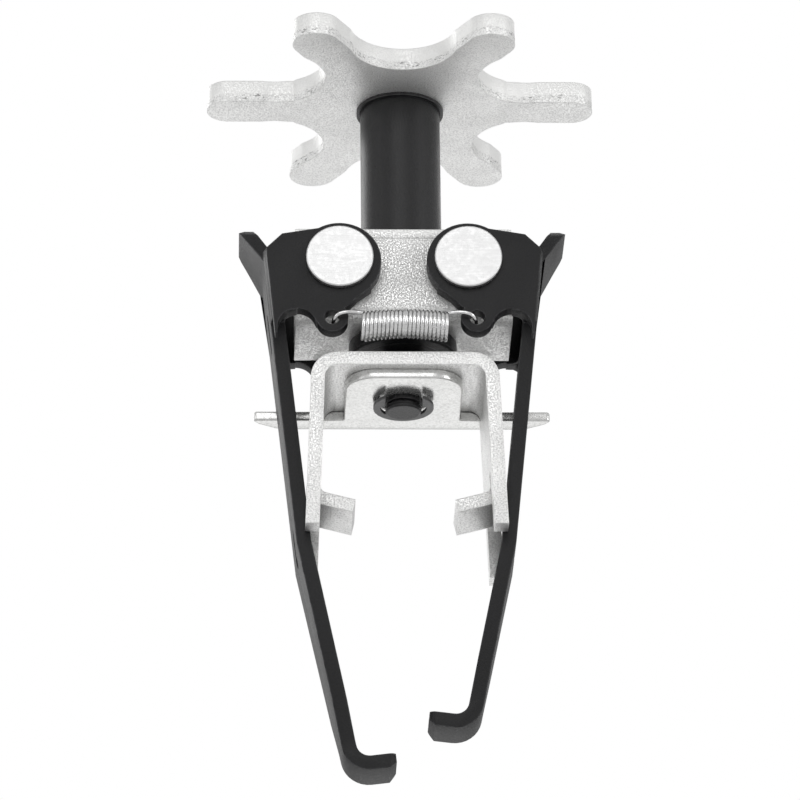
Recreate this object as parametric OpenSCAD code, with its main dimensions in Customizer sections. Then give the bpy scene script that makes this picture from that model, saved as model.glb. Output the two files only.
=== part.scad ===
// Two-jaw puller for overhead valve springs: a star handle turns a threaded sleeve, which drives
// a pressing fork down between two hooked jaws. Millimetres, +Z up, screw axis on Z, hooks at Z = 0.

/* [Star handle] */
// Distance from the screw axis to each lobe's tip
star_r = 58.2; // [50:0.2:64]
// Plate thickness of the star
star_t = 7; // [5:0.5:9]
// Width of a lobe near its tip
lobe_w = 13; // [10:0.5:15]
// Height of the star's lower face
star_z = 214.6; // [205:0.2:225]

/* [Sleeve and feed screw] */
// Outer diameter of the sleeve
sleeve_d = 24; // [22:0.5:25]
// Outer diameter of the feed screw's thread
screw_d = 14; // [12:0.5:16]
// Pitch of the feed screw's thread
thread_pitch = 2; // [1.5:0.25:2.5]
// Diameter of the feed screw's lower journal
journal_d = 10.6; // [9:0.2:11.5]

/* [Frame] */
// Width of the frame across the two pivots
frame_w = 64; // [60:1:66]
// Depth of the frame from front plate to back plate
frame_depth = 32; // [31:0.5:33]
// Sheet thickness of the frame
frame_t = 3; // [2.5:0.25:3.25]
// Height of the frame's lower face
frame_z = 137.2; // [136:0.2:138]
// Height of the frame's upper face
frame_top = 166.9; // [165:0.2:168]

/* [Pivots] */
// Distance from the screw axis to each pivot
pivot_x = 18.9; // [18.5:0.1:20]
// Height of the pivots
pivot_z = 155; // [154:0.2:156]
// Diameter of the pivot rivets
rivet_d = 11; // [9:0.5:12]
// Diameter of the rivet heads
rivet_head_d = 19.8; // [17:0.2:20.5]

/* [Jaws] */
// Sheet thickness of the jaws
jaw_t = 4.2; // [3.5:0.1:4.4]
// Height of the short jaw's hook above the long jaw's hook
hook_step = 12.8; // [8:0.4:14]
// Depth of a jaw's flat strip above its taper
strip_depth = 25.8; // [24:0.2:26]
// Depth of a hook
hook_depth = 12.6; // [10:0.2:14]

/* [Pressing fork] */
// Sheet thickness of the fork
fork_t = 4.1; // [3.5:0.1:4.5]
// Depth of the fork from front to back
fork_depth = 39; // [38:0.5:40]
// Outer width of the fork at its web
fork_w = 55; // [53:0.2:55.6]
// Height of the fork web's lower face
fork_z = 121.1; // [120.5:0.1:121.6]
// Distance by which the fork has opened out at its toes, each side
fork_flare = 1.9; // [0.7:0.2:1.9]
// Height of the fork's toes
toe_z = 70.6; // [69:0.2:74]

/* [Guide plate] */
// Thickness of the guide plate
guide_t = 3; // [2.5:0.1:3.2]
// Width of the guide plate across its wings
guide_w = 87; // [84:1:92]
// Width of the guide plate's tongue
tongue_w = 34.4; // [30:0.4:38]

/* [Tension spring] */
// Outer diameter of the spring
spring_d = 9; // [7:0.2:9.2]
// Length of the spring's wound body
spring_len = 25; // [23:1:27]
// Wire diameter of the spring
spring_wire = 1.2; // [1:0.1:1.4]

/* [Hidden] */
$fn = 64;

black = "#1c1c1e";
zinc = "#c9c9c6";
bright = "#dededc";

sleeve_r = sleeve_d / 2;
screw_r = screw_d / 2;
journal_r = journal_d / 2;
running_gap = 0.05;     // radial clearance of a running fit
side_gap = 0.3;         // clearance between faces on different bodies

collar_r = 16;
collar_h = 5.2;
washer_h = 0.7;
handle_ring_r = 13.1;
handle_ring_h = 1;

frame_bend_r = 5;
channel_top = frame_top - frame_t;
front_y = frame_depth / 2;
flange_y = front_y + side_gap;
flange_out = flange_y + jaw_t;

eye_r = 12.2;
lug = [-21.2, 135.9];
lug_r = 4.7;
lug_hole_r = 2.3;
spring_z = 132.8;
arch = [-31.5, 133];
arch_r = 5.7;

strip_tilt = 6.2;       // lean of the upper strip, in degrees
bend_out_r = flange_out - strip_depth / 2;
strip_x = 38.8;         // outer face of the strip at strip_ref_z
strip_ref_z = 134.9;
kink_z = 68;            // height where the strip leans in further towards its hook
lower_tilt = 11.8;
hook_bend_r = 8;
hook_rise = 7;          // slope of a hook towards its tip, in degrees
hook_len = 7.1;
neck_z = 137.5;
notch_z = 160;

fork_web_top = fork_z + fork_t;
guide_z = fork_z - guide_t;
toe_depth = 6.2;
back_toe_drop = 3;      // how much lower the back toes reach
fork_bend_r = 8;
tab_z = 87;             // height where the arms end and their toes and tabs begin
tab_depth = 17;
tab_len = 10.1;
tab_drop = 10;          // slope of a tab towards its tip, in degrees
wing_y = 13.3;          // front edge of the guide plate's wings
guide_back_y = 20;
tongue_front_y = -16.4;
clip_h = 1;
clip_drop = 1.2;        // gap between the guide plate and its clip
clip_r = 8.9;
groove_r = journal_r - 1.3;
screw_end_z = 114.4;
screw_top_z = 206;
thread_depth = 0.9;

// Points of an arc about c, from angle a0 to angle a1, in degrees
function arc(c, r, a0, a1, n = 10) =
    [for (i = [0:n]) c + r * [cos(a0 + (a1 - a0) * i / n), sin(a0 + (a1 - a0) * i / n)]];

// A point at a distance and angle from p
function polar(p, r, a) = p + r * [cos(a), sin(a)];

// Outer face of the upper strip at height z, on the right of the axis
function strip_outer(z) = strip_x + (z - strip_ref_z) * tan(strip_tilt);

// Mid-line of the left strip: its kink, then the bend's centre and the hook's tip for a given lift
kink = [-strip_outer(kink_z) + jaw_t / 2 - 0.2, kink_z];
hook_mid_r = hook_bend_r - jaw_t / 2;
function hook_centre(lift) = let (foot_z = hook_bend_r + lift - hook_mid_r * sin(lower_tilt))
    [kink[0] + (kink_z - foot_z) * tan(lower_tilt) + hook_mid_r * cos(lower_tilt), hook_bend_r + lift];
function hook_tip(lift) = hook_centre(lift) + hook_mid_r * [sin(hook_rise), -cos(hook_rise)]
    + hook_len * [cos(hook_rise), sin(hook_rise)];

module ring(outer_r, inner_r, h) {
    difference() {
        cylinder(r = outer_r, h = h);
        translate([0, 0, -1])
            cylinder(r = inner_r, h = h + 2);
    }
}

// ---- Star handle and sleeve ----

// One lobe and its share of the star, along +X
module lobe_outline(tip_r, width) {
    translate([tip_r - width / 2, 0])
        circle(d = width);
    translate([0, -width / 2])
        square([tip_r - width / 2, width]);
}

// Star before its corners are blended: six lobes on a hub, with a round throat between each pair.
// The lobes along X reach a little further than the four others, which are a little wider.
module star_sharp() {
    lobe_angle = 58.4;
    hub_r = 36;
    difference() {
        union() {
            circle(r = hub_r, $fn = 6);
            for (a = [0, 180])
                rotate(a)
                    lobe_outline(star_r, lobe_w);
            for (a = [lobe_angle, 180 - lobe_angle, 180 + lobe_angle, -lobe_angle])
                rotate(a)
                    lobe_outline(star_r - 2, lobe_w + 1.2);
        }
        for (a = [90, 270])
            rotate(a)
                translate([42.8, 0])
                    circle(r = 16);
        for (a = [lobe_angle, 360 - lobe_angle, 360 + lobe_angle, 720 - lobe_angle])
            rotate(a / 2)
                translate([43.5, 0])
                    circle(r = 15.2);
    }
}

// Star outline, with the corners between flanks and throats blended
module star_outline() {
    blend_r = 5.5;
    offset(r = blend_r)
        offset(delta = -blend_r)
            star_sharp();
}

module star_handle() {
    color(zinc)
        translate([0, 0, star_z])
            difference() {
                linear_extrude(star_t)
                    star_outline();
                translate([0, 0, -1])
                    cylinder(r = sleeve_r, h = star_t + 2);
            }
}

// Weld bead that joins the sleeve to the star
module handle_ring() {
    color(black)
        translate([0, 0, star_z - handle_ring_h])
            ring(handle_ring_r, sleeve_r, handle_ring_h);
}

module sleeve() {
    foot_z = frame_z - washer_h - collar_h;
    color(black)
        translate([0, 0, foot_z])
            ring(sleeve_r, screw_r + running_gap, star_z + star_t - foot_z);
}

module sleeve_collar() {
    color(black)
        translate([0, 0, frame_z - washer_h - collar_h])
            rotate_extrude()
                polygon([
                    [sleeve_r, 0], [collar_r - 0.6, 0], [collar_r, 0.6],
                    [collar_r, collar_h - 0.4], [collar_r - 0.4, collar_h], [sleeve_r, collar_h]
                ]);
}

module thrust_washer() {
    color(zinc)
        translate([0, 0, frame_z - washer_h])
            ring(collar_r - 0.8, sleeve_r + running_gap, washer_h - running_gap);
}

// Ring in the sleeve's groove, above the channel's inner bends, which keeps the sleeve in the frame
module retaining_ring() {
    color(black)
        translate([0, 0, frame_z + frame_bend_r + side_gap])
            ring(sleeve_r + 0.6, sleeve_r, 1.2);
}

// ---- Frame ----

// Section of the frame's channel, in Y and Z
module channel_section() {
    inner_r = frame_bend_r - frame_t;
    inner_y = front_y - frame_t;
    polygon(concat(
        [[-front_y, channel_top]],
        arc([-front_y + frame_bend_r, frame_z + frame_bend_r], frame_bend_r, 180, 270),
        arc([front_y - frame_bend_r, frame_z + frame_bend_r], frame_bend_r, 270, 360),
        [[front_y, channel_top], [inner_y, channel_top]],
        arc([inner_y - inner_r, frame_z + frame_t + inner_r], inner_r, 0, -90),
        arc([-inner_y + inner_r, frame_z + frame_t + inner_r], inner_r, 270, 180),
        [[-inner_y, channel_top]]
    ));
}

module frame_channel() {
    color(zinc)
        difference() {
            translate([-frame_w / 2, 0, 0])
                rotate([90, 0, 90])
                    linear_extrude(frame_w)
                        channel_section();
            translate([0, 0, frame_z - 1])
                cylinder(r = sleeve_r + running_gap, h = frame_t + 2);
            for (x = [-pivot_x, pivot_x])
                translate([x, front_y + 1, pivot_z])
                    rotate([90, 0, 0])
                        cylinder(r = rivet_d / 2 + running_gap, h = frame_depth + 2);
        }
}

module frame_cover() {
    color(zinc)
        translate([0, 0, channel_top])
            difference() {
                translate([-frame_w / 2, -front_y, 0])
                    cube([frame_w, frame_depth, frame_t]);
                translate([0, 0, -1])
                    cylinder(r = sleeve_r + running_gap, h = frame_t + 2);
            }
}

// ---- Pivots ----

// Rivet with a flat front head and a turned-down tail for its washer
module pivot_rivet(x) {
    head_h = 1.6;
    head_r = rivet_head_d / 2;
    head_y = flange_out + side_gap;
    tail_r = rivet_d / 2 - 1.5;
    color(bright)
        translate([x, 0, pivot_z])
            rotate([90, 0, 0])
                rotate_extrude()
                    polygon([
                        [0, -head_y - head_h - 0.8], [tail_r, -head_y - head_h - 0.8],
                        [tail_r, -head_y], [rivet_d / 2, -head_y],
                        [rivet_d / 2, head_y], [head_r, head_y],
                        [head_r, head_y + head_h - 0.3], [head_r - 0.3, head_y + head_h],
                        [0, head_y + head_h]
                    ]);
}

// Washer under the rivet's spread tail, behind the frame
module rivet_washer(x) {
    head_y = flange_out + side_gap;
    tail_r = rivet_d / 2 - 1.5;
    color(bright)
        translate([x, head_y + 1.6, pivot_z])
            rotate([90, 0, 0])
                ring(rivet_head_d / 2, tail_r, 1.6);
}

// ---- Jaws, drawn on the left of the axis ----

// Front view of one flange: pivot eye, spring lug and the arch beside the strip
module flange_outline() {
    difference() {
        union() {
            translate([-pivot_x, pivot_z - 0.6])
                circle(r = eye_r);
            polygon([
                [-pivot_x + 2, pivot_z + eye_r - 0.9], [-35.8, 163.1],
                [-strip_outer(notch_z) + 1, notch_z - 1.6], [-strip_outer(136) + 1, 131],
                [-30, 131], [-lug_r / 2 + lug[0], lug[1]], [-16.6, 139.4], [-13.6, 142.6],
                [-9.6, 145.6]
            ]);
            translate(lug)
                circle(r = lug_r);
        }
        translate(arch)
            circle(r = arch_r);
        translate([arch[0] - arch_r, arch[1] - 2 * arch_r])
            square([2 * arch_r, 2 * arch_r]);
        translate(lug)
            circle(r = lug_hole_r);
    }
}

// Front view of the strip, from the finger lever down to the hook, with its hook raised by lift
module strip_outline(lift) {
    top_bend = [-strip_outer(158) + jaw_t / 2, 158];
    lever_tip = top_bend + 14.6 * [-sin(31), cos(31)];
    path = concat(
        [lever_tip, top_bend, kink],
        arc(hook_centre(lift), hook_mid_r, 180 + lower_tilt, 270 + hook_rise, 8),
        [hook_tip(lift)]
    );
    last = len(path) - 1;
    function heading(i) = let (a = path[max(i - 1, 0)], b = path[min(i + 1, last)])
        atan2(b[1] - a[1], b[0] - a[0]);
    polygon(concat(
        [for (i = [0:last]) polar(path[i], jaw_t / 2, heading(i) + 90)],
        [
            polar(path[last], 0.2, heading(last) - 90),
            polar(path[last], jaw_t / 2, heading(last) - 90) - 2 * [cos(hook_rise), sin(hook_rise)]
        ],
        [for (i = [last - 1:-1:0]) polar(path[i], jaw_t / 2, heading(i) - 90)]
    ));
}

// Side view of the strip: full depth above, tapering to the hook
module strip_side(lift) {
    half = strip_depth / 2;
    tip = hook_depth / 2;
    lever = 8.2;
    right_side = [
        [tip, -1], [tip, 9 + lift], [half - 3, 20 + lift], [half, 74], [half, 159],
        [lever + 2.2, 164.5], [lever + 0.9, 168.2], [lever - 1.2, 170.4], [lever - 3.5, 171]
    ];
    polygon(concat(
        right_side,
        [for (i = [len(right_side) - 1:-1:0]) [-right_side[i][0], right_side[i][1]]]
    ));
}

// Plan view of the strip, which rounds off the hook's nose
module strip_plan(lift) {
    nose_r = 2.5;
    nose_x = hook_tip(lift)[0] + 0.2;
    half = hook_depth / 2;
    translate([-80, -30])
        square([80 + nose_x - nose_r, 60]);
    translate([nose_x - nose_r, -half + nose_r])
        circle(r = nose_r);
    translate([nose_x - nose_r, half - nose_r])
        circle(r = nose_r);
    translate([nose_x - nose_r, -half + nose_r])
        square([nose_r, 2 * (half - nose_r)]);
}

// Bent corner that joins the strip to a flange, leaning with the strip
module corner_bend() {
    len_z = notch_z - neck_z;
    translate([-strip_outer(neck_z), 0, neck_z])
        rotate([0, -strip_tilt, 0])
            intersection() {
                translate([bend_out_r, -strip_depth / 2, 0])
                    ring(bend_out_r, bend_out_r - jaw_t, len_z);
                translate([-1, -flange_out - 1, -1])
                    cube([bend_out_r + 1, bend_out_r + 1, len_z + 2]);
            }
}

// Upright oblong slot through a strip
module strip_slot(z, w, len_z) {
    for (s = [-1, 1])
        translate([-60, 0, z + s * (len_z - w) / 2])
            rotate([0, 90, 0])
                cylinder(d = w, h = 40);
    translate([-60, -w / 2, z - (len_z - w) / 2])
        cube([40, w, len_z - w]);
}

module jaw(lift) {
    strip_y = 30;
    difference() {
        union() {
            intersection() {
                translate([0, strip_y, 0])
                    rotate([90, 0, 0])
                        linear_extrude(2 * strip_y)
                            strip_outline(lift);
                translate([-80, 0, 0])
                    rotate([90, 0, 90])
                        linear_extrude(90)
                            strip_side(lift);
                translate([0, 0, -1])
                    linear_extrude(180)
                        strip_plan(lift);
            }
            for (s = [0, 1])
                mirror([0, s, 0]) {
                    translate([0, -flange_y, 0])
                        rotate([90, 0, 0])
                            linear_extrude(jaw_t)
                                flange_outline();
                    corner_bend();
                }
        }
        translate([-pivot_x, flange_out + 1, pivot_z])
            rotate([90, 0, 0])
                cylinder(r = rivet_d / 2 + running_gap, h = 2 * flange_out + 2);
        strip_slot(139.5, 4.5, 13);
        strip_slot(70.5, 4, 12);
    }
}

module long_jaw() {
    color(black)
        jaw(0);
}

module short_jaw() {
    color(black)
        mirror([1, 0, 0])
            jaw(hook_step);
}

// ---- Tension spring: its wound body as one bar, and a leg to each jaw's lug ----

module tension_spring() {
    leg_r = spring_wire / 2 - 0.1;
    end_r = leg_r - 0.1;
    color(bright)
        translate([0, -flange_out - leg_r - 0.15, 0]) {
            translate([-spring_len / 2, 0, spring_z])
                rotate([0, 90, 0])
                    cylinder(d = spring_d, h = spring_len);
            for (s = [0, 1])
                mirror([s, 0, 0]) {
                    translate([spring_len / 2 - 2, 0, lug[1]])
                        rotate([0, 90, 0])
                            cylinder(r = leg_r, h = -lug[0] - spring_len / 2 + 2.8);
                    translate([-lug[0], jaw_t + 1.2, lug[1]])
                        rotate([90, 0, 0])
                            cylinder(r = end_r, h = jaw_t + 1.2);
                }
        }
}

// ---- Pressing fork, guide plate and feed screw ----

// Front view of the fork: a web with two arms that open out a little
module fork_outline() {
    half = fork_w / 2;
    bend_z = fork_web_top - fork_bend_r;
    lean = atan(fork_flare / (bend_z - toe_z));
    toe = half + fork_flare;
    right_side = concat(
        arc([half - fork_bend_r, bend_z], fork_bend_r, 90, -lean, 12),
        [[toe, toe_z - back_toe_drop], [toe - fork_t, toe_z - back_toe_drop]],
        arc([half - fork_bend_r, bend_z], fork_bend_r - fork_t, -lean, 90, 12)
    );
    polygon(concat(
        [for (p = right_side) p],
        [for (i = [len(right_side) - 1:-1:0]) [-right_side[i][0], right_side[i][1]]]
    ));
}

// Side view of what is cut out of the fork's arms: the gap between toes, the slits beside each
// tab, and the slots for the guide plate's wings
module fork_cuts() {
    half = fork_depth / 2;
    gap = half - toe_depth;
    slit_w = gap - tab_depth / 2;
    translate([-gap, toe_z - back_toe_drop - 1])
        square([2 * gap, tab_z + back_toe_drop + 1 - toe_z]);
    translate([-half - 1, toe_z - back_toe_drop - 1])
        square([half + 1, back_toe_drop + 1]);
    for (y = [-gap, tab_depth / 2])
        translate([y, tab_z - 1])
            square([slit_w, 4]);
    translate([wing_y - side_gap, guide_z - side_gap])
        square([half - wing_y + 2, guide_t + side_gap]);
}

// Tab bent in from the right arm, which presses on a spring retainer
module fork_tab() {
    bend_z = fork_web_top - fork_bend_r;
    arm_x = fork_w / 2 + fork_flare * (bend_z - tab_z) / (bend_z - toe_z);
    bend_r = 2;
    translate([arm_x - fork_t, tab_depth / 2, tab_z])
        rotate([90, 0, 0])
            linear_extrude(tab_depth)
                polygon(concat(
                    [[fork_t, 0.2], [0, 0.2]],
                    arc([-bend_r, 0], bend_r, 0, -90 + tab_drop, 6),
                    [[-tab_len, -bend_r - 2.2], [-tab_len + 0.9, -bend_r - fork_t - 2.1]],
                    arc([-bend_r, 0], bend_r + fork_t, -90 + tab_drop, 0, 8)
                ));
}

module pressing_fork() {
    color(bright)
        difference() {
            union() {
                difference() {
                    translate([0, fork_depth / 2, 0])
                        rotate([90, 0, 0])
                            linear_extrude(fork_depth)
                                fork_outline();
                    translate([-50, 0, 0])
                        rotate([90, 0, 90])
                            linear_extrude(100)
                                fork_cuts();
                }
                fork_tab();
                mirror([1, 0, 0])
                    fork_tab();
            }
            translate([0, 0, fork_z - 1])
                cylinder(r = journal_r + 0.02, h = fork_t + 2);
        }
}

module guide_outline() {
    corner = 9;
    tip = 3;
    half = guide_w / 2;
    tongue = tongue_w / 2;
    for (x = [-tongue + corner, tongue - corner])
        translate([x, tongue_front_y + corner])
            circle(r = corner);
    translate([-tongue + corner, tongue_front_y])
        square([tongue_w - 2 * corner, corner + 1]);
    translate([-tongue, tongue_front_y + corner])
        square([tongue_w, guide_back_y - tongue_front_y - corner]);
    polygon([
        [-half, wing_y], [half, wing_y], [half + 0.6, wing_y + 1], [half - 1, wing_y + tip],
        [half - 6, guide_back_y - 0.6], [half - 9, guide_back_y], [-half + 9, guide_back_y],
        [-half + 6, guide_back_y - 0.6], [-half + 1, wing_y + tip], [-half - 0.6, wing_y + 1]
    ]);
}

module guide_plate() {
    color(bright)
        translate([0, 0, guide_z])
            difference() {
                linear_extrude(guide_t)
                    guide_outline();
                translate([0, 0, -1])
                    cylinder(r = journal_r + 0.02, h = guide_t + 2);
            }
}

// Threaded rod with its journal, clip groove and end
module feed_screw() {
    shoulder_z = fork_web_top + 1;
    groove_z = guide_z - clip_drop - clip_h;
    first_thread = shoulder_z + 3;
    turns = floor((screw_top_z - 2 - first_thread) / thread_pitch);
    color(black)
        rotate_extrude()
            polygon(concat(
                [
                    [0, screw_end_z], [journal_r - 0.5, screw_end_z],
                    [journal_r, screw_end_z + 0.5], [journal_r, groove_z],
                    [groove_r, groove_z], [groove_r, groove_z + clip_h],
                    [journal_r, groove_z + clip_h], [journal_r, shoulder_z],
                    [screw_r - thread_depth, shoulder_z], [screw_r - thread_depth, first_thread]
                ],
                [for (i = [0:turns - 1]) each let (z = first_thread + i * thread_pitch) [
                    [screw_r, z + 0.4 * thread_pitch], [screw_r, z + 0.6 * thread_pitch],
                    [screw_r - thread_depth, z + thread_pitch]
                ]],
                [[screw_r - thread_depth - 1, screw_top_z], [0, screw_top_z]]
            ));
}

module screw_washer() {
    color(zinc)
        translate([0, 0, fork_web_top])
            ring(11, journal_r, 1);
}

// Open ring with three lugs that grip the screw's groove
module e_clip() {
    mouth_w = 2 * journal_r + 0.2;
    color(black)
        translate([0, 0, guide_z - clip_drop - clip_h])
            linear_extrude(clip_h)
                difference() {
                    circle(r = clip_r);
                    circle(r = groove_r);
                    for (a = [14, 166])
                        rotate(a)
                            intersection() {
                                difference() {
                                    circle(r = clip_r - 2.1);
                                    circle(r = groove_r - 0.1);
                                }
                                translate([0, -2.6])
                                    square([clip_r, 5.2]);
                            }
                    translate([-mouth_w / 2, -clip_r - 1])
                        square([mouth_w, clip_r]);
                }
}

star_handle();
handle_ring();
sleeve();
sleeve_collar();
thrust_washer();
retaining_ring();
frame_channel();
frame_cover();
pivot_rivet(-pivot_x);  // left_pivot_rivet
pivot_rivet(pivot_x);  // right_pivot_rivet
rivet_washer(-pivot_x);  // left_rivet_washer
rivet_washer(pivot_x);  // right_rivet_washer
long_jaw();
short_jaw();
tension_spring();
pressing_fork();
guide_plate();
feed_screw();
screw_washer();
e_clip();
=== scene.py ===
"""Two-jaw puller with a star handle: finishes, coil spring, studio and camera around the frame."""

from __future__ import annotations

import logging
import math
from dataclasses import dataclass, field
from enum import Enum
from typing import Callable

import bpy
import bmesh
from mathutils import Matrix, Vector


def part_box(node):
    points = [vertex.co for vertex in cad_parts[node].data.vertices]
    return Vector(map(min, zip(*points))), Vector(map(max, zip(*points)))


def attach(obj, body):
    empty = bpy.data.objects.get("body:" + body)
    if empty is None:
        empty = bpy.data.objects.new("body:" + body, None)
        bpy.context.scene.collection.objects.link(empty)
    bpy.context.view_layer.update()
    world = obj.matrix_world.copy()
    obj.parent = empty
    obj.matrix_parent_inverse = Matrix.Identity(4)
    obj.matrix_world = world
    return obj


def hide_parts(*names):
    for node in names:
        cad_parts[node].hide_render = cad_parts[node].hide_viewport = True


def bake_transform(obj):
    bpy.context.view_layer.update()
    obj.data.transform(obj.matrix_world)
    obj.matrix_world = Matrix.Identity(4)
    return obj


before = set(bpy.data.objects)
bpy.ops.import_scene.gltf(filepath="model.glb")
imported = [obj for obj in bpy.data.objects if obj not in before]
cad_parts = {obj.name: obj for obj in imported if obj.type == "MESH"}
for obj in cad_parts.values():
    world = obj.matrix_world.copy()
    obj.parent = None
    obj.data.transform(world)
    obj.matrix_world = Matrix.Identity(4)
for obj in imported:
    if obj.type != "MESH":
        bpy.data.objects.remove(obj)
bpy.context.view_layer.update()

log = logging.getLogger("puller")

MM = 0.001
SEED = 7.0

MERGE_DISTANCE = 1e-6
FLAT_ANGLE = math.radians(0.5)
BEVEL_ANGLE = math.radians(35)
SHARP_ANGLE = math.radians(38)
BEVEL_SEGMENTS = 3

Rgb = tuple[float, float, float]
Point = tuple[float, float, float]


class Finish(Enum):
    """The finishes that the puller's pieces wear."""

    STAR_ZINC = "star_zinc"
    FRAME_ZINC = "frame_zinc"
    FORK_ZINC = "fork_zinc"
    GUIDE_ZINC = "guide_zinc"
    RIVET_STEEL = "rivet_steel"
    SPRING_WIRE = "spring_wire"
    JAW_BLACK = "jaw_black"
    SLEEVE_BLACK = "sleeve_black"
    CLIP_STEEL = "clip_steel"


# ---- Shader node groups, shared by the finishes ----


def rgba(colour: Rgb) -> tuple[float, float, float, float]:
    """A colour with full alpha."""
    return (*colour, 1.0)


class NodeGroup:
    """A shader node group under construction, with helpers to place and join nodes.

    Args:
        name: the group's name.
        inputs: name, default value pairs of the float inputs.
        outputs: names of the float outputs.
    """

    def __init__(self, name: str, inputs: dict[str, float], outputs: list[str]) -> None:
        """Makes the group's tree and its sockets."""
        self.tree = bpy.data.node_groups.new(name, "ShaderNodeTree")
        for key, value in inputs.items():
            self.socket(key, "INPUT").default_value = value
        for key in outputs:
            self.socket(key, "OUTPUT")
        self.given = self.tree.nodes.new("NodeGroupInput").outputs
        self.result = self.tree.nodes.new("NodeGroupOutput").inputs

    def socket(self, key: str, side: str) -> bpy.types.NodeTreeInterfaceSocket:
        """Adds a float socket to the group's interface.

        Args:
            key: the socket's name.
            side: INPUT or OUTPUT.

        Returns:
            The interface socket.
        """
        return self.tree.interface.new_socket(key, in_out=side, socket_type="NodeSocketFloat")

    def math(
        self, operation: str, a: object, b: object = 0.0, clamp: bool = False
    ) -> bpy.types.NodeSocket:
        """Adds a Math node.

        Args:
            operation: Blender's name of the operation.
            a: a number or socket.
            b: a number or socket.
            clamp: whether the result stays between 0 and 1.

        Returns:
            The node's output.
        """
        node = self.tree.nodes.new("ShaderNodeMath")
        node.operation = operation
        node.use_clamp = clamp
        for socket, value in zip(node.inputs, (a, b)):
            plug(self.tree, socket, value)
        return node.outputs[0]

    def noise(
        self, where: object, scale: object, detail: float, rough: float = 0.55
    ) -> bpy.types.NodeSocket:
        """Adds a noise texture and gives its value.

        Args:
            where: the socket with the coordinates.
            scale: a number or socket.
            detail: octaves of the noise.
            rough: how much the finer octaves count.

        Returns:
            The noise, about 0.5 on average.
        """
        node = self.tree.nodes.new("ShaderNodeTexNoise")
        node.noise_dimensions = "4D"
        node.inputs["W"].default_value = SEED
        node.inputs["Detail"].default_value = detail
        node.inputs["Roughness"].default_value = rough
        plug(self.tree, node.inputs["Vector"], where)
        plug(self.tree, node.inputs["Scale"], scale)
        return node.outputs["Fac"]

    def ramp(self, value: object, low: object, high: object) -> bpy.types.NodeSocket:
        """Stretches low..high to 0..1 with a smooth step.

        Args:
            value: the socket to stretch.
            low: the value that becomes 0.
            high: the value that becomes 1.

        Returns:
            The stretched value.
        """
        node = self.tree.nodes.new("ShaderNodeMapRange")
        node.interpolation_type = "SMOOTHSTEP"
        plug(self.tree, node.inputs["Value"], value)
        plug(self.tree, node.inputs["From Min"], low)
        plug(self.tree, node.inputs["From Max"], high)
        return node.outputs["Result"]

    def coordinates(self) -> bpy.types.NodeSocket:
        """Object coordinates in metres."""
        return self.tree.nodes.new("ShaderNodeTexCoord").outputs["Object"]


def plug(tree: bpy.types.NodeTree, socket: bpy.types.NodeSocket, value: object) -> None:
    """Joins a socket to another, or sets its value.

    Args:
        tree: the tree that both are in.
        socket: the input.
        value: an output socket, or a plain value.
    """
    if isinstance(value, bpy.types.NodeSocket):
        tree.links.new(value, socket)
    else:
        socket.default_value = value


def blasted_grain_group() -> bpy.types.NodeTree:
    """Sandy grain of a shot-blasted and plated surface: fine pits over slow cloudy patches.

    Returns:
        The group: sizes of Grain and Cloud in, Tone and Height out.
    """
    grain_share = 0.78
    group = NodeGroup("blasted_grain", {"Grain": 0.6 * MM, "Cloud": 9 * MM}, ["Tone", "Height"])
    where = group.coordinates()
    fine = group.noise(where, group.math("DIVIDE", 1.0, group.given["Grain"]), 3.0, 0.7)
    cloud = group.noise(where, group.math("DIVIDE", 1.0, group.given["Cloud"]), 4.0)
    pits = group.ramp(fine, 0.34, 0.58)
    patches = group.ramp(cloud, 0.32, 0.68)
    tone = group.math(
        "ADD",
        group.math("MULTIPLY", pits, grain_share),
        group.math("MULTIPLY", patches, 1.0 - grain_share),
    )
    plug(group.tree, group.result["Tone"], tone)
    plug(group.tree, group.result["Height"], pits)
    return group.tree


def edge_wear_group() -> bpy.types.NodeTree:
    """Where the surface turns a corner, broken up by a little noise.

    Returns:
        The group: Width of the edge and Spread of the breaks in, Mask out.
    """
    group = NodeGroup("edge_wear", {"Width": 0.6 * MM, "Spread": 3 * MM}, ["Mask"])
    nodes = group.tree.nodes
    bevel = nodes.new("ShaderNodeBevel")
    bevel.samples = 4
    plug(group.tree, bevel.inputs["Radius"], group.given["Width"])
    flat = nodes.new("ShaderNodeNewGeometry").outputs["Normal"]
    dot = nodes.new("ShaderNodeVectorMath")
    dot.operation = "DOT_PRODUCT"
    plug(group.tree, dot.inputs[0], bevel.outputs["Normal"])
    plug(group.tree, dot.inputs[1], flat)
    turned = group.ramp(dot.outputs["Value"], 0.995, 0.90)
    breaks = group.noise(group.coordinates(), group.math("DIVIDE", 1.0, group.given["Spread"]), 3.0)
    kept = group.ramp(breaks, 0.30, 0.62)
    plug(group.tree, group.result["Mask"], group.math("MULTIPLY", turned, kept, clamp=True))
    return group.tree


def brushed_group() -> bpy.types.NodeTree:
    """Fine straight lines along X, as drawing or turning leaves them.

    Returns:
        The group: Spacing of the lines in, Tone out.
    """
    group = NodeGroup("brushed_lines", {"Spacing": 0.25 * MM}, ["Tone"])
    stretch = group.tree.nodes.new("ShaderNodeMapping")
    stretch.inputs["Scale"].default_value = (0.05, 1.0, 1.0)
    plug(group.tree, stretch.inputs["Vector"], group.coordinates())
    scale = group.math("DIVIDE", 1.0, group.given["Spacing"])
    lines = group.noise(stretch.outputs["Vector"], scale, 2.0)
    plug(group.tree, group.result["Tone"], group.ramp(lines, 0.3, 0.7))
    return group.tree


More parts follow.
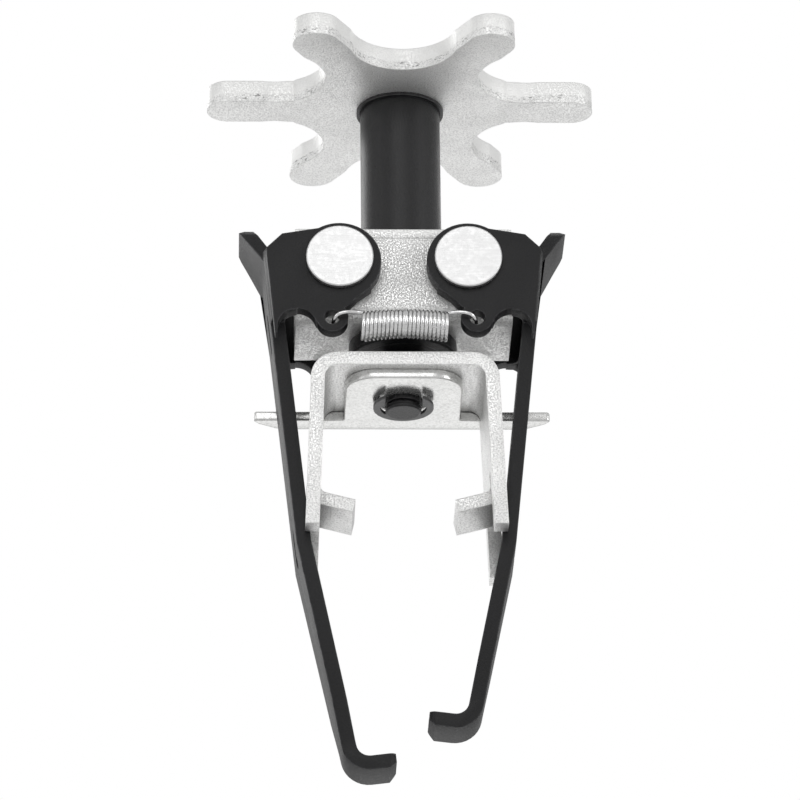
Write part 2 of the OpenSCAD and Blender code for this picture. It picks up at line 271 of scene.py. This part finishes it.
def sheared_edge_group() -> bpy.types.NodeTree:
    """The rim of a punched sheet: torn and speckled near one face, smooth beyond it.

    Returns:
        The group: the sheet's lower face and thickness, the torn share and how much its edge
        wanders in, Smooth and Specks masks out.
    """
    wave_size = 5 * MM
    fleck_size = 0.55 * MM
    patch_size = 8 * MM
    fleck_stretch = (0.45, 0.45, 1.0)
    below_edge = 0.16
    group = NodeGroup(
        "sheared_edge",
        {"Face": 0.0, "Thickness": 4 * MM, "Share": 0.45, "Waviness": 0.3},
        ["Smooth", "Specks"],
    )
    where = group.coordinates()
    parts = group.tree.nodes.new("ShaderNodeSeparateXYZ")
    plug(group.tree, parts.inputs["Vector"], where)
    height = group.math("SUBTRACT", parts.outputs["Z"], group.given["Face"])
    share = group.math("DIVIDE", height, group.given["Thickness"])
    wave = group.noise(where, 1.0 / wave_size, 4.0, 0.6)
    shift = group.math("MULTIPLY", group.math("SUBTRACT", wave, 0.5), group.given["Waviness"])
    away = group.math("SUBTRACT", group.math("ADD", share, shift), group.given["Share"])
    smooth = group.ramp(away, -0.03, 0.05)
    from_band = group.math("ABSOLUTE", group.math("ADD", away, below_edge))
    band = group.ramp(from_band, 0.24, 0.10)
    stretch = group.tree.nodes.new("ShaderNodeMapping")
    stretch.inputs["Scale"].default_value = fleck_stretch
    plug(group.tree, stretch.inputs["Vector"], where)
    flecks = group.ramp(
        group.noise(stretch.outputs["Vector"], 1.0 / fleck_size, 3.0, 0.7), 0.52, 0.66
    )
    patches = group.ramp(group.noise(where, 1.0 / patch_size, 2.0), 0.38, 0.62)
    normal = group.tree.nodes.new("ShaderNodeNewGeometry").outputs["Normal"]
    facing = group.tree.nodes.new("ShaderNodeSeparateXYZ")
    plug(group.tree, facing.inputs["Vector"], normal)
    rim = group.ramp(group.math("ABSOLUTE", facing.outputs["Z"]), 0.6, 0.3)
    thinned = group.math("ADD", patches, 0.25)
    specks = group.math("MULTIPLY", group.math("MULTIPLY", flecks, band), thinned)
    plug(group.tree, group.result["Smooth"], group.math("MULTIPLY", smooth, rim, clamp=True))
    plug(group.tree, group.result["Specks"], group.math("MULTIPLY", specks, rim, clamp=True))
    return group.tree


class Groups:
    """The shared groups, built once."""

    def __init__(self) -> None:
        """Builds each group."""
        self.grain = blasted_grain_group()
        self.edge = edge_wear_group()
        self.brushed = brushed_group()
        self.sheared = sheared_edge_group()


# ---- Finishes ----


class Surface:
    """A material under construction around one Principled BSDF.

    Args:
        name: the material's name.
        metallic: how metallic the surface is.
        specular: the Principled shader's specular level.
    """

    def __init__(self, name: str, metallic: float, specular: float = 0.5) -> None:
        """Makes the material and its shader."""
        self.material = bpy.data.materials.new(name)
        self.material.use_nodes = True
        self.tree = self.material.node_tree
        self.shader = self.tree.nodes["Principled BSDF"]
        self.shader.inputs["Metallic"].default_value = metallic
        self.shader.inputs["Specular IOR Level"].default_value = specular

    def group(self, tree: bpy.types.NodeTree, **values: float) -> bpy.types.NodeOutputs:
        """Places a shared group.

        Args:
            tree: the group.
            values: its inputs, by name.

        Returns:
            The group's outputs.
        """
        node = self.tree.nodes.new("ShaderNodeGroup")
        node.node_tree = tree
        for key, value in values.items():
            node.inputs[key].default_value = value
        return node.outputs

    def mix(self, low: object, high: object, factor: object) -> bpy.types.NodeSocket:
        """Mixes two colours.

        Args:
            low: colour or socket where the factor is 0.
            high: colour or socket where the factor is 1.
            factor: the socket or number to mix by.

        Returns:
            The mixed colour.
        """
        node = self.tree.nodes.new("ShaderNodeMix")
        node.data_type = "RGBA"
        plug(self.tree, node.inputs[0], factor)
        for socket, value in ((node.inputs[6], low), (node.inputs[7], high)):
            plug(self.tree, socket, rgba(value) if isinstance(value, tuple) else value)
        return node.outputs[2]

    def scale(self, factor: object, low: float, high: float) -> bpy.types.NodeSocket:
        """Maps 0..1 to low..high.

        Args:
            factor: the socket that runs from 0 to 1.
            low: the result at 0.
            high: the result at 1.

        Returns:
            The mapped value.
        """
        node = self.tree.nodes.new("ShaderNodeMapRange")
        plug(self.tree, node.inputs["Value"], factor)
        node.inputs["To Min"].default_value = low
        node.inputs["To Max"].default_value = high
        return node.outputs["Result"]

    def relief(self, height: object, depth: float, soft_edge: float) -> None:
        """Bumps the surface, over edges that are rounded in shading.

        Args:
            height: the socket that runs from 0 to 1.
            depth: the height of 1, in metres.
            soft_edge: the radius that edges look rounded to.
        """
        bevel = self.tree.nodes.new("ShaderNodeBevel")
        bevel.samples = 6
        bevel.inputs["Radius"].default_value = soft_edge
        bump = self.tree.nodes.new("ShaderNodeBump")
        bump.inputs["Distance"].default_value = depth
        plug(self.tree, bump.inputs["Height"], height)
        plug(self.tree, bump.inputs["Normal"], bevel.outputs["Normal"])
        plug(self.tree, self.shader.inputs["Normal"], bump.outputs["Normal"])


@dataclass(frozen=True)
class ShearRim:
    """Where a punched sheet's rim lies, how much of it is torn, and how it is speckled."""

    face: float
    thickness: float
    share: float
    waviness: float
    smooth_share: float = 0.8
    speck_shade: float = 0.20
    speck_share: float = 0.75


@dataclass(frozen=True)
class ZincFinish:
    """Zinc plating over blasted or rolled steel."""

    name: str
    dark: Rgb
    light: Rgb
    rough_low: float
    rough_high: float
    grain: float
    cloud: float = 9 * MM
    depth: float = 0.05 * MM
    metallic: float = 0.85
    soft_edge: float = 0.45 * MM
    wear_reach: float = 1.4
    wear_spread: float = 2.5 * MM
    edge_light: Rgb = (0.93, 0.93, 0.92)
    rim: ShearRim | None = None

    def build(self, groups: Groups) -> bpy.types.Material:
        """Builds the material.

        Args:
            groups: the shared node groups.

        Returns:
            The finished material.
        """
        surface = Surface(self.name, self.metallic)
        grain = surface.group(groups.grain, Grain=self.grain, Cloud=self.cloud)
        width = self.soft_edge * self.wear_reach
        edge = surface.group(groups.edge, Width=width, Spread=self.wear_spread)
        colour = surface.mix(self.dark, self.light, grain["Tone"])
        colour = surface.mix(colour, self.edge_light, edge["Mask"])
        if self.rim is not None:
            rim = surface.group(
                groups.sheared,
                Face=self.rim.face,
                Thickness=self.rim.thickness,
                Share=self.rim.share,
                Waviness=self.rim.waviness,
            )
            smooth = surface.scale(rim["Smooth"], 0.0, self.rim.smooth_share)
            colour = surface.mix(colour, self.edge_light, smooth)
            shade = tuple(self.rim.speck_shade * c for c in self.dark)
            specks = surface.scale(rim["Specks"], 0.0, self.rim.speck_share)
            colour = surface.mix(colour, shade, specks)
        plug(surface.tree, surface.shader.inputs["Base Color"], colour)
        rough = surface.scale(grain["Tone"], self.rough_high, self.rough_low)
        plug(surface.tree, surface.shader.inputs["Roughness"], rough)
        surface.relief(grain["Height"], self.depth, self.soft_edge)
        return surface.material


@dataclass(frozen=True)
class TurnedFinish:
    """Bright steel with fine tool lines under slow cloudy patches."""

    name: str
    dark: Rgb
    light: Rgb
    rough_low: float
    rough_high: float
    spacing: float
    depth: float = 0.01 * MM
    metallic: float = 1.0
    soft_edge: float = 0.3 * MM
    grain: float = 1.2 * MM
    cloud: float = 6 * MM
    cloud_share: float = 0.6

    def build(self, groups: Groups) -> bpy.types.Material:
        """Builds the material.

        Args:
            groups: the shared node groups.

        Returns:
            The finished material.
        """
        surface = Surface(self.name, self.metallic)
        lines = surface.group(groups.brushed, Spacing=self.spacing)
        cloud = surface.group(groups.grain, Grain=self.grain, Cloud=self.cloud)
        colour = surface.mix(self.dark, self.light, lines["Tone"])
        lit = surface.scale(cloud["Tone"], 0.0, self.cloud_share)
        colour = surface.mix(colour, self.light, lit)
        plug(surface.tree, surface.shader.inputs["Base Color"], colour)
        rough = surface.scale(cloud["Tone"], self.rough_low, self.rough_high)
        plug(surface.tree, surface.shader.inputs["Roughness"], rough)
        surface.relief(lines["Tone"], self.depth, self.soft_edge)
        return surface.material


@dataclass(frozen=True)
class BlackFinish:
    """Satin black coating, a little thinner on its edges."""

    name: str
    deep: Rgb
    pale: Rgb
    rough_low: float
    rough_high: float
    grain: float
    cloud: float = 12 * MM
    depth: float = 0.03 * MM
    edge: Rgb = (0.16, 0.16, 0.165)
    edge_share: float = 0.55
    soft_edge: float = 0.5 * MM
    wear_reach: float = 1.3
    wear_spread: float = 4 * MM
    specular: float = 0.5

    def build(self, groups: Groups) -> bpy.types.Material:
        """Builds the material.

        Args:
            groups: the shared node groups.

        Returns:
            The finished material.
        """
        surface = Surface(self.name, 0.0, self.specular)
        grain = surface.group(groups.grain, Grain=self.grain, Cloud=self.cloud)
        width = self.soft_edge * self.wear_reach
        edge = surface.group(groups.edge, Width=width, Spread=self.wear_spread)
        colour = surface.mix(self.deep, self.pale, grain["Tone"])
        worn = surface.scale(edge["Mask"], 0.0, self.edge_share)
        colour = surface.mix(colour, self.edge, worn)
        plug(surface.tree, surface.shader.inputs["Base Color"], colour)
        rough = surface.scale(grain["Tone"], self.rough_low, self.rough_high)
        plug(surface.tree, surface.shader.inputs["Roughness"], rough)
        surface.relief(grain["Height"], self.depth, self.soft_edge)
        return surface.material


class Palette:
    """Every finish of the puller, built once and handed out by name."""

    def __init__(self, groups: Groups) -> None:
        """Builds the materials.

        Args:
            groups: the shared node groups.
        """
        star_low, star_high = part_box("star_handle")
        cover_low, cover_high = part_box("frame_cover")
        star_rim = ShearRim(
            face=star_low[2], thickness=star_high[2] - star_low[2], share=0.36, waviness=0.35
        )
        cover_rim = ShearRim(
            face=cover_low[2], thickness=cover_high[2] - cover_low[2], share=0.30, waviness=0.4
        )
        finishes: dict[Finish, ZincFinish | TurnedFinish | BlackFinish] = {
            Finish.STAR_ZINC: ZincFinish(
                name="star_zinc",
                dark=(0.68, 0.68, 0.675),
                light=(0.94, 0.94, 0.93),
                rough_low=0.42,
                rough_high=0.58,
                grain=0.50 * MM,
                depth=0.06 * MM,
                rim=star_rim,
            ),
            Finish.FRAME_ZINC: ZincFinish(
                name="frame_zinc",
                dark=(0.62, 0.62, 0.615),
                light=(0.97, 0.97, 0.96),
                rough_low=0.30,
                rough_high=0.46,
                grain=0.50 * MM,
                depth=0.09 * MM,
                rim=cover_rim,
            ),
            Finish.FORK_ZINC: ZincFinish(
                name="fork_zinc",
                dark=(0.56, 0.56, 0.555),
                light=(0.94, 0.94, 0.93),
                rough_low=0.28,
                rough_high=0.44,
                grain=0.5 * MM,
                depth=0.06 * MM,
            ),
            Finish.GUIDE_ZINC: ZincFinish(
                name="guide_zinc",
                dark=(0.62, 0.62, 0.61),
                light=(0.76, 0.76, 0.75),
                rough_low=0.19,
                rough_high=0.30,
                grain=0.9 * MM,
                depth=0.015 * MM,
            ),
            Finish.RIVET_STEEL: TurnedFinish(
                name="rivet_steel",
                dark=(0.62, 0.62, 0.62),
                light=(0.72, 0.72, 0.72),
                rough_low=0.34,
                rough_high=0.44,
                spacing=0.3 * MM,
            ),
            Finish.SPRING_WIRE: TurnedFinish(
                name="spring_wire",
                dark=(0.55, 0.55, 0.55),
                light=(0.90, 0.90, 0.90),
                rough_low=0.12,
                rough_high=0.22,
                spacing=0.2 * MM,
                soft_edge=0.05 * MM,
            ),
            Finish.JAW_BLACK: BlackFinish(
                name="jaw_black",
                deep=(0.005, 0.005, 0.0055),
                pale=(0.011, 0.011, 0.012),
                rough_low=0.34,
                rough_high=0.50,
                grain=0.5 * MM,
                specular=0.30,
            ),
            Finish.SLEEVE_BLACK: BlackFinish(
                name="sleeve_black",
                deep=(0.009, 0.009, 0.0095),
                pale=(0.014, 0.014, 0.015),
                rough_low=0.27,
                rough_high=0.36,
                grain=0.5 * MM,
                specular=0.36,
            ),
            Finish.CLIP_STEEL: BlackFinish(
                name="clip_steel",
                deep=(0.05, 0.05, 0.052),
                pale=(0.11, 0.11, 0.11),
                rough_low=0.30,
                rough_high=0.42,
                grain=0.4 * MM,
            ),
        }
        self.materials = {key: finish.build(groups) for key, finish in finishes.items()}

    def __getitem__(self, key: Finish) -> bpy.types.Material:
        """The material of a finish."""
        return self.materials[key]


# ---- Mesh helpers ----


def dress(node: str, material: bpy.types.Material) -> None:
    """Gives a CAD node its material.

    Args:
        node: the CAD node's name.
        material: the material for all of it.
    """
    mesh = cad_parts[node].data
    mesh.materials.clear()
    mesh.materials.append(material)
    log.info("%s wears %s", node, material.name)


def rounded_copy(
    node: str, width: float, material: bpy.types.Material, body: str
) -> bpy.types.Object:
    """A copy of a CAD node with its edges rounded off, which stands for the node.

    Args:
        node: the CAD node's name.
        width: how far each edge is rounded, in metres.
        material: the material for all of it.
        body: the body that it rides on.

    Returns:
        The new object.
    """
    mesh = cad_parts[node].data.copy()
    work = bmesh.new()
    work.from_mesh(mesh)
    bmesh.ops.remove_doubles(work, verts=work.verts, dist=MERGE_DISTANCE)
    bmesh.ops.dissolve_limit(
        work,
        angle_limit=FLAT_ANGLE,
        verts=work.verts,
        edges=work.edges,
        use_dissolve_boundaries=False,
    )
    work.to_mesh(mesh)
    work.free()
    source = bpy.data.objects.new(f"{node}_source", mesh)
    bpy.context.collection.objects.link(source)
    bevel = source.modifiers.new("rounded edges", "BEVEL")
    bevel.width = width
    bevel.segments = BEVEL_SEGMENTS
    bevel.limit_method = "ANGLE"
    bevel.angle_limit = BEVEL_ANGLE
    bevel.use_clamp_overlap = True
    bevel.miter_outer = "MITER_ARC"
    result = applied(source, f"{node}_rounded", material)
    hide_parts(node)
    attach(result, body)
    log.info("%s rounded by %.2f mm", node, width / MM)
    return result


def applied(source: bpy.types.Object, name: str, material: bpy.types.Material) -> bpy.types.Object:
    """The evaluated mesh of an object, as a new object; the source is removed.

    Args:
        source: the object whose modifiers are run.
        name: the new object's name.
        material: the material for all of it.

    Returns:
        The new object.
    """
    graph = bpy.context.evaluated_depsgraph_get()
    mesh = bpy.data.meshes.new_from_object(source.evaluated_get(graph))
    mesh.name = name
    mesh.materials.clear()
    mesh.materials.append(material)
    for polygon in mesh.polygons:
        polygon.use_smooth = True
        polygon.material_index = 0
    mesh.set_sharp_from_angle(angle=SHARP_ANGLE)
    result = bpy.data.objects.new(name, mesh)
    bpy.context.collection.objects.link(result)
    bpy.data.objects.remove(source)
    return result


# ---- Geometry Nodes ----


class CoilTree:
    """Geometry Nodes that wind a coil about its own Z axis and sweep the wire's section."""

    INPUTS: dict[str, float] = {
        "Turns": 10.0,
        "Radius": 3.5 * MM,
        "Length": 12 * MM,
        "Wire radius": 0.6 * MM,
    }
    POINTS_PER_TURN = 40
    SECTION_POINTS = 14

    def __init__(self, material: bpy.types.Material) -> None:
        """Builds the tree.

        Args:
            material: the wire's material.
        """
        self.tree = bpy.data.node_groups.new("wound_coil", "GeometryNodeTree")
        face = self.tree.interface
        face.new_socket("Geometry", in_out="INPUT", socket_type="NodeSocketGeometry")
        self.sockets = {}
        for key, value in self.INPUTS.items():
            socket = face.new_socket(key, in_out="INPUT", socket_type="NodeSocketFloat")
            socket.default_value = value
            self.sockets[key] = socket.identifier
        face.new_socket("Geometry", in_out="OUTPUT", socket_type="NodeSocketGeometry")
        nodes, links = self.tree.nodes, self.tree.links
        given = nodes.new("NodeGroupInput").outputs
        spiral = nodes.new("GeometryNodeCurveSpiral")
        spiral.inputs["Resolution"].default_value = self.POINTS_PER_TURN
        links.new(given["Turns"], spiral.inputs["Rotations"])
        links.new(given["Radius"], spiral.inputs["Start Radius"])
        links.new(given["Radius"], spiral.inputs["End Radius"])
        links.new(given["Length"], spiral.inputs["Height"])
        section = nodes.new("GeometryNodeCurvePrimitiveCircle")
        section.inputs["Resolution"].default_value = self.SECTION_POINTS
        links.new(given["Wire radius"], section.inputs["Radius"])
        sweep = nodes.new("GeometryNodeCurveToMesh")
        sweep.inputs["Fill Caps"].default_value = True
        links.new(spiral.outputs["Curve"], sweep.inputs["Curve"])
        links.new(section.outputs["Curve"], sweep.inputs["Profile Curve"])
        smooth = nodes.new("GeometryNodeSetShadeSmooth")
        links.new(sweep.outputs["Mesh"], smooth.inputs["Geometry"])
        realize = nodes.new("GeometryNodeRealizeInstances")
        links.new(smooth.outputs["Geometry"], realize.inputs["Geometry"])
        paint = nodes.new("GeometryNodeSetMaterial")
        paint.inputs["Material"].default_value = material
        links.new(realize.outputs["Geometry"], paint.inputs["Geometry"])
        links.new(paint.outputs["Geometry"], nodes.new("NodeGroupOutput").inputs["Geometry"])

    def wind(self, name: str, values: dict[str, float]) -> bpy.types.Object:
        """Winds one coil.

        Args:
            name: the object's name.
            values: the tree's inputs, by name.

        Returns:
            An object with the coil as a plain mesh, standing on the origin along +Z.
        """
        source = bpy.data.objects.new(f"{name}_source", bpy.data.meshes.new(f"{name}_source"))
        modifier = source.modifiers.new("coil", "NODES")
        modifier.node_group = self.tree
        for key, value in values.items():
            modifier[self.sockets[key]] = value
        bpy.context.collection.objects.link(source)
        graph = bpy.context.evaluated_depsgraph_get()
        mesh = bpy.data.meshes.new_from_object(source.evaluated_get(graph))
        result = bpy.data.objects.new(name, mesh)
        bpy.context.collection.objects.link(result)
        bpy.data.objects.remove(source)
        return result


def swept_wire(
    name: str, points: list[Point], radius: float, material: bpy.types.Material
) -> bpy.types.Object:
    """A round wire through the given points, on a smooth curve with closed ends.

    Args:
        name: the object's name.
        points: the points that the wire follows, in metres.
        radius: the wire's radius.
        material: the wire's material.

    Returns:
        The wire as a mesh object.
    """
    curve = bpy.data.curves.new(f"{name}_path", "CURVE")
    curve.dimensions = "3D"
    curve.bevel_depth = radius
    curve.bevel_resolution = 4
    curve.use_fill_caps = True
    spline = curve.splines.new("NURBS")
    spline.points.add(len(points) - 1)
    for point, place in zip(spline.points, points):
        point.co = (*place, 1.0)
    spline.use_endpoint_u = True
    spline.order_u = 4
    spline.resolution_u = 8
    source = bpy.data.objects.new(f"{name}_source", curve)
    bpy.context.collection.objects.link(source)
    result = applied(source, name, material)
    bpy.data.curves.remove(curve)
    return result


# ---- Sub-assemblies ----


@dataclass
class StarHandle:
    """The star, its weld ring and the threaded sleeve under it."""

    palette: Palette
    rim_round: float = 0.8 * MM
    body: str = "handle"

    def build(self) -> None:
        """Builds and dresses the handle's pieces."""
        zinc = self.palette[Finish.STAR_ZINC]
        rounded_copy("star_handle", self.rim_round, zinc, self.body)
        for node in ("handle_ring", "sleeve", "sleeve_collar", "retaining_ring"):
            dress(node, self.palette[Finish.SLEEVE_BLACK])
        dress("thrust_washer", self.palette[Finish.GUIDE_ZINC])


@dataclass
class FrameBox:
    """The folded channel that carries the pivots, and the plate on it."""

    palette: Palette
    edge_round: float = 0.35 * MM
    body: str = "frame"

    def build(self) -> None:
        """Builds and dresses the frame's pieces."""
        zinc = self.palette[Finish.FRAME_ZINC]
        rounded_copy("frame_channel", self.edge_round, zinc, self.body)
        rounded_copy("frame_cover", self.edge_round, zinc, self.body)


@dataclass
class Pivots:
    """The two rivets that the jaws swing on, with their washers."""

    palette: Palette

    def build(self) -> None:
        """Dresses the rivets and washers."""
        for side in ("left", "right"):
            dress(f"{side}_pivot_rivet", self.palette[Finish.RIVET_STEEL])
            dress(f"{side}_rivet_washer", self.palette[Finish.RIVET_STEEL])


@dataclass
class Jaws:
    """The long and the short jaw."""

    palette: Palette
    edge_round: float = 0.6 * MM

    def build(self) -> None:
        """Builds and dresses both jaws."""
        black = self.palette[Finish.JAW_BLACK]
        rounded_copy("long_jaw", self.edge_round, black, "long_jaw_body")
        rounded_copy("short_jaw", self.edge_round, black, "short_jaw_body")


@dataclass
class ReturnSpring:
    """The extension spring between the jaws' lugs: two half coils and a hook at each end."""

    palette: Palette
    turns: float = 10.5
    wire: float = 1.15 * MM
    pitch_per_wire: float = 1.03
    arch: float = 1.1 * MM
    lug_rise: float = 3.1 * MM
    coils: CoilTree = field(init=False)

    def __post_init__(self) -> None:
        """Works out the coil's place from the CAD spring."""
        low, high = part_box("tension_spring")
        self.outer = (high[2] - low[2]) / 2
        self.mid_z = (high[2] + low[2]) / 2
        self.reach = high[0]
        self.half = self.turns * self.wire * self.pitch_per_wire
        self.y = low[1] + self.outer
        self.coils = CoilTree(self.palette[Finish.SPRING_WIRE])

    def half_coil(self, side: int) -> bpy.types.Object:
        """One half of the coil, from the middle outwards.

        Args:
            side: -1 for the left half, 1 for the right.

        Returns:
            The half coil in its place.
        """
        name = "left_half_coil" if side < 0 else "right_half_coil"
        values = {
            "Turns": self.turns,
            "Radius": self.outer - self.wire / 2,
            "Length": self.half,
            "Wire radius": self.wire / 2,
        }
        coil = self.coils.wind(name, values)
        turn = Matrix.Rotation(math.radians(90), 4, "Y")
        start = 0.0 if side > 0 else -self.half
        place = Matrix.Translation((start, self.y, self.mid_z)) @ turn
        coil.data.transform(place)
        for vertex in coil.data.vertices:
            vertex.co.z += self.arch * (0.5 - (vertex.co.x / self.half) ** 2)
        return coil

    def hook(self, side: int) -> bpy.types.Object:
        """The loop that leaves the coil and passes through a jaw's lug.

        Args:
            side: -1 for the left hook, 1 for the right.

        Returns:
            The hook in its place.
        """
        name = "left_spring_hook" if side < 0 else "right_spring_hook"
        radius = self.outer - self.wire / 2
        top = self.mid_z + radius
        end = self.half
        lug = self.reach - self.wire / 2
        hole_z = self.mid_z + self.lug_rise
        deep = self.y + radius + 0.6 * MM
        path = [
            (end - 0.6 * MM, self.y - 0.3 * radius, top - 0.35 * MM),
            (end + 0.6 * MM, self.y - 0.1 * radius, top - 0.1 * MM),
            (end + 2.4 * MM, self.y - 0.2 * radius, top + 0.1 * MM),
            (end + 4.4 * MM, self.y - 0.3 * radius, top - 0.1 * MM),
            (lug - 1.8 * MM, self.y - 0.3 * radius, hole_z + 0.2 * MM),
            (lug - 0.6 * MM, self.y + 0.1 * radius, hole_z - 1.1 * MM),
            (lug - 0.3 * MM, self.y + 0.7 * radius, hole_z - 1.2 * MM),
            (lug - 0.6 * MM, deep, hole_z - 0.9 * MM),
        ]
        placed = [(side * x, y, z) for x, y, z in path]
        return swept_wire(name, placed, self.wire / 2, self.palette[Finish.SPRING_WIRE])

    def build(self) -> None:
        """Builds the spring: two half coils, and a hook at each end that rides on its jaw."""
        pieces = []
        sides = ((-1, "long_jaw_body", "left_pivot"), (1, "short_jaw_body", "right_pivot"))
        for side, jaw, pivot in sides:
            coil = self.half_coil(side)
            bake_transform(coil)
            hook = self.hook(side)
            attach(hook, jaw)
            for piece in (coil, hook):
                pieces.append(piece)
                log.info("%s built", piece.name)
        for piece in pieces:
            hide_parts("tension_spring")


@dataclass
class Carriage:
    """What the feed screw carries: the fork, the guide plate, the washer and the clip."""

    palette: Palette
    edge_round: float = 0.5 * MM
    body: str = "carriage"

    def build(self) -> None:
        """Builds and dresses the carriage's pieces."""
        fork_zinc = self.palette[Finish.FORK_ZINC]
        guide_zinc = self.palette[Finish.GUIDE_ZINC]
        rounded_copy("pressing_fork", self.edge_round, fork_zinc, self.body)
        rounded_copy("guide_plate", self.edge_round, guide_zinc, self.body)
        dress("feed_screw", self.palette[Finish.SLEEVE_BLACK])
        dress("screw_washer", guide_zinc)
        dress("e_clip", self.palette[Finish.CLIP_STEEL])


# ---- Studio ----


@dataclass(frozen=True)
class SoftBox:
    """One square soft light that faces a point."""

    name: str
    place: Point
    size: float
    power: float

    def build(self, target: Vector) -> None:
        """Adds the light.

        Args:
            target: the point that it faces.
        """
        data = bpy.data.lights.new(self.name, "AREA")
        data.size = self.size
        data.energy = self.power
        light = bpy.data.objects.new(self.name, data)
        bpy.context.collection.objects.link(light)
        light.location = self.place
        light.rotation_euler = (target - Vector(self.place)).to_track_quat("-Z", "Y").to_euler()


@dataclass(frozen=True)
class Studio:
    """Pale floor, white surroundings, soft lights and the camera."""

    floor_size: float = 6.0
    floor_tone: float = 0.86
    surround: float = 0.78
    aim: Point = (0.0003, 0.0368, 0.1358)
    distance: float = 1.6
    azimuth: float = -2.0
    elevation: float = -25.0
    roll: float = -0.7
    lens: float = 238.3
    boxes: tuple[SoftBox, ...] = (
        SoftBox("left", (-1.6, -0.75, 0.5), 0.8, 2.6),
        SoftBox("right", (1.45, -0.95, 0.4), 0.7, 6.0),
        SoftBox("front", (-0.2, -1.7, 0.9), 1.0, 5.2),
        SoftBox("low back", (0.0, 1.35, -0.85), 1.5, 4.0),
        SoftBox("left back", (-1.5, 1.8, 1.3), 1.2, 9.0),
        SoftBox("back", (0.5, 1.8, 1.7), 1.2, 6.0),
    )

    def surroundings(self) -> None:
        """White where the camera looks, softer grey where surfaces reflect it."""
        bpy.context.scene.view_settings.view_transform = "Standard"
        world = bpy.data.worlds.new("white studio")
        bpy.context.scene.world = world
        world.use_nodes = True
        tree = world.node_tree
        tree.nodes.clear()
        path = tree.nodes.new("ShaderNodeLightPath")
        lit = tree.nodes.new("ShaderNodeBackground")
        lit.inputs["Strength"].default_value = self.surround
        seen = tree.nodes.new("ShaderNodeBackground")
        seen.inputs["Color"].default_value = rgba((1.0, 1.0, 1.0))
        mix = tree.nodes.new("ShaderNodeMixShader")
        out = tree.nodes.new("ShaderNodeOutputWorld")
        tree.links.new(path.outputs["Is Camera Ray"], mix.inputs["Fac"])
        tree.links.new(lit.outputs["Background"], mix.inputs[1])
        tree.links.new(seen.outputs["Background"], mix.inputs[2])
        tree.links.new(mix.outputs["Shader"], out.inputs["Surface"])

    def floor(self) -> None:
        """A pale floor that shows from above and stays clear from below."""
        half = self.floor_size / 2
        mesh = bpy.data.meshes.new("floor")
        corners = [(-half, -half, 0), (half, -half, 0), (half, half, 0), (-half, half, 0)]
        mesh.from_pydata(corners, [], [(0, 1, 2, 3)])
        floor = bpy.data.objects.new("floor", mesh)
        bpy.context.collection.objects.link(floor)
        material = bpy.data.materials.new("pale_floor")
        material.use_nodes = True
        tree = material.node_tree
        paint = tree.nodes["Principled BSDF"]
        paint.inputs["Base Color"].default_value = rgba((self.floor_tone,) * 3)
        paint.inputs["Roughness"].default_value = 0.7
        clear = tree.nodes.new("ShaderNodeBsdfTransparent")
        path = tree.nodes.new("ShaderNodeLightPath")
        side = tree.nodes.new("ShaderNodeNewGeometry")
        shows = tree.nodes.new("ShaderNodeMath")
        shows.operation = "SUBTRACT"
        shows.use_clamp = True
        mix = tree.nodes.new("ShaderNodeMixShader")
        tree.links.new(path.outputs["Is Camera Ray"], shows.inputs[0])
        tree.links.new(side.outputs["Backfacing"], shows.inputs[1])
        tree.links.new(shows.outputs[0], mix.inputs["Fac"])
        tree.links.new(clear.outputs["BSDF"], mix.inputs[1])
        tree.links.new(paint.outputs["BSDF"], mix.inputs[2])
        tree.links.new(mix.outputs["Shader"], tree.nodes["Material Output"].inputs["Surface"])
        mesh.materials.append(material)

    def camera(self) -> None:
        """Places the camera, which looks up from under the part and a little from its left."""
        turn, tilt, roll = (math.radians(a) for a in (self.azimuth, self.elevation, self.roll))
        level = math.cos(tilt)
        back = Vector((math.sin(turn) * level, -math.cos(turn) * level, math.sin(tilt)))
        across = Vector((math.cos(turn), math.sin(turn), 0.0))
        upward = back.cross(across)
        right = math.cos(roll) * across + math.sin(roll) * upward
        upright = math.cos(roll) * upward - math.sin(roll) * across
        data = bpy.data.cameras.new("camera")
        data.lens = self.lens
        data.clip_end = 20.0
        camera = bpy.data.objects.new("camera", data)
        bpy.context.collection.objects.link(camera)
        place = Matrix((right, upright, back)).transposed().to_4x4()
        place.translation = Vector(self.aim) + back * self.distance
        camera.matrix_world = place
        bpy.context.scene.camera = camera

    def build(self) -> None:
        """Builds the whole studio."""
        self.surroundings()
        self.floor()
        for box in self.boxes:
            box.build(Vector(self.aim))
        self.camera()
        log.info("studio built")


def main() -> None:
    """Builds every sub-assembly, then the studio."""
    logging.basicConfig(level=logging.INFO, format="%(name)s: %(message)s")
    palette = Palette(Groups())
    assemblies: tuple[Callable[[], None], ...] = (
        StarHandle(palette).build,
        FrameBox(palette).build,
        Pivots(palette).build,
        Jaws(palette).build,
        ReturnSpring(palette).build,
        Carriage(palette).build,
        Studio().build,
    )
    for build in assemblies:
        build()


if __name__ == "__main__":
    main()
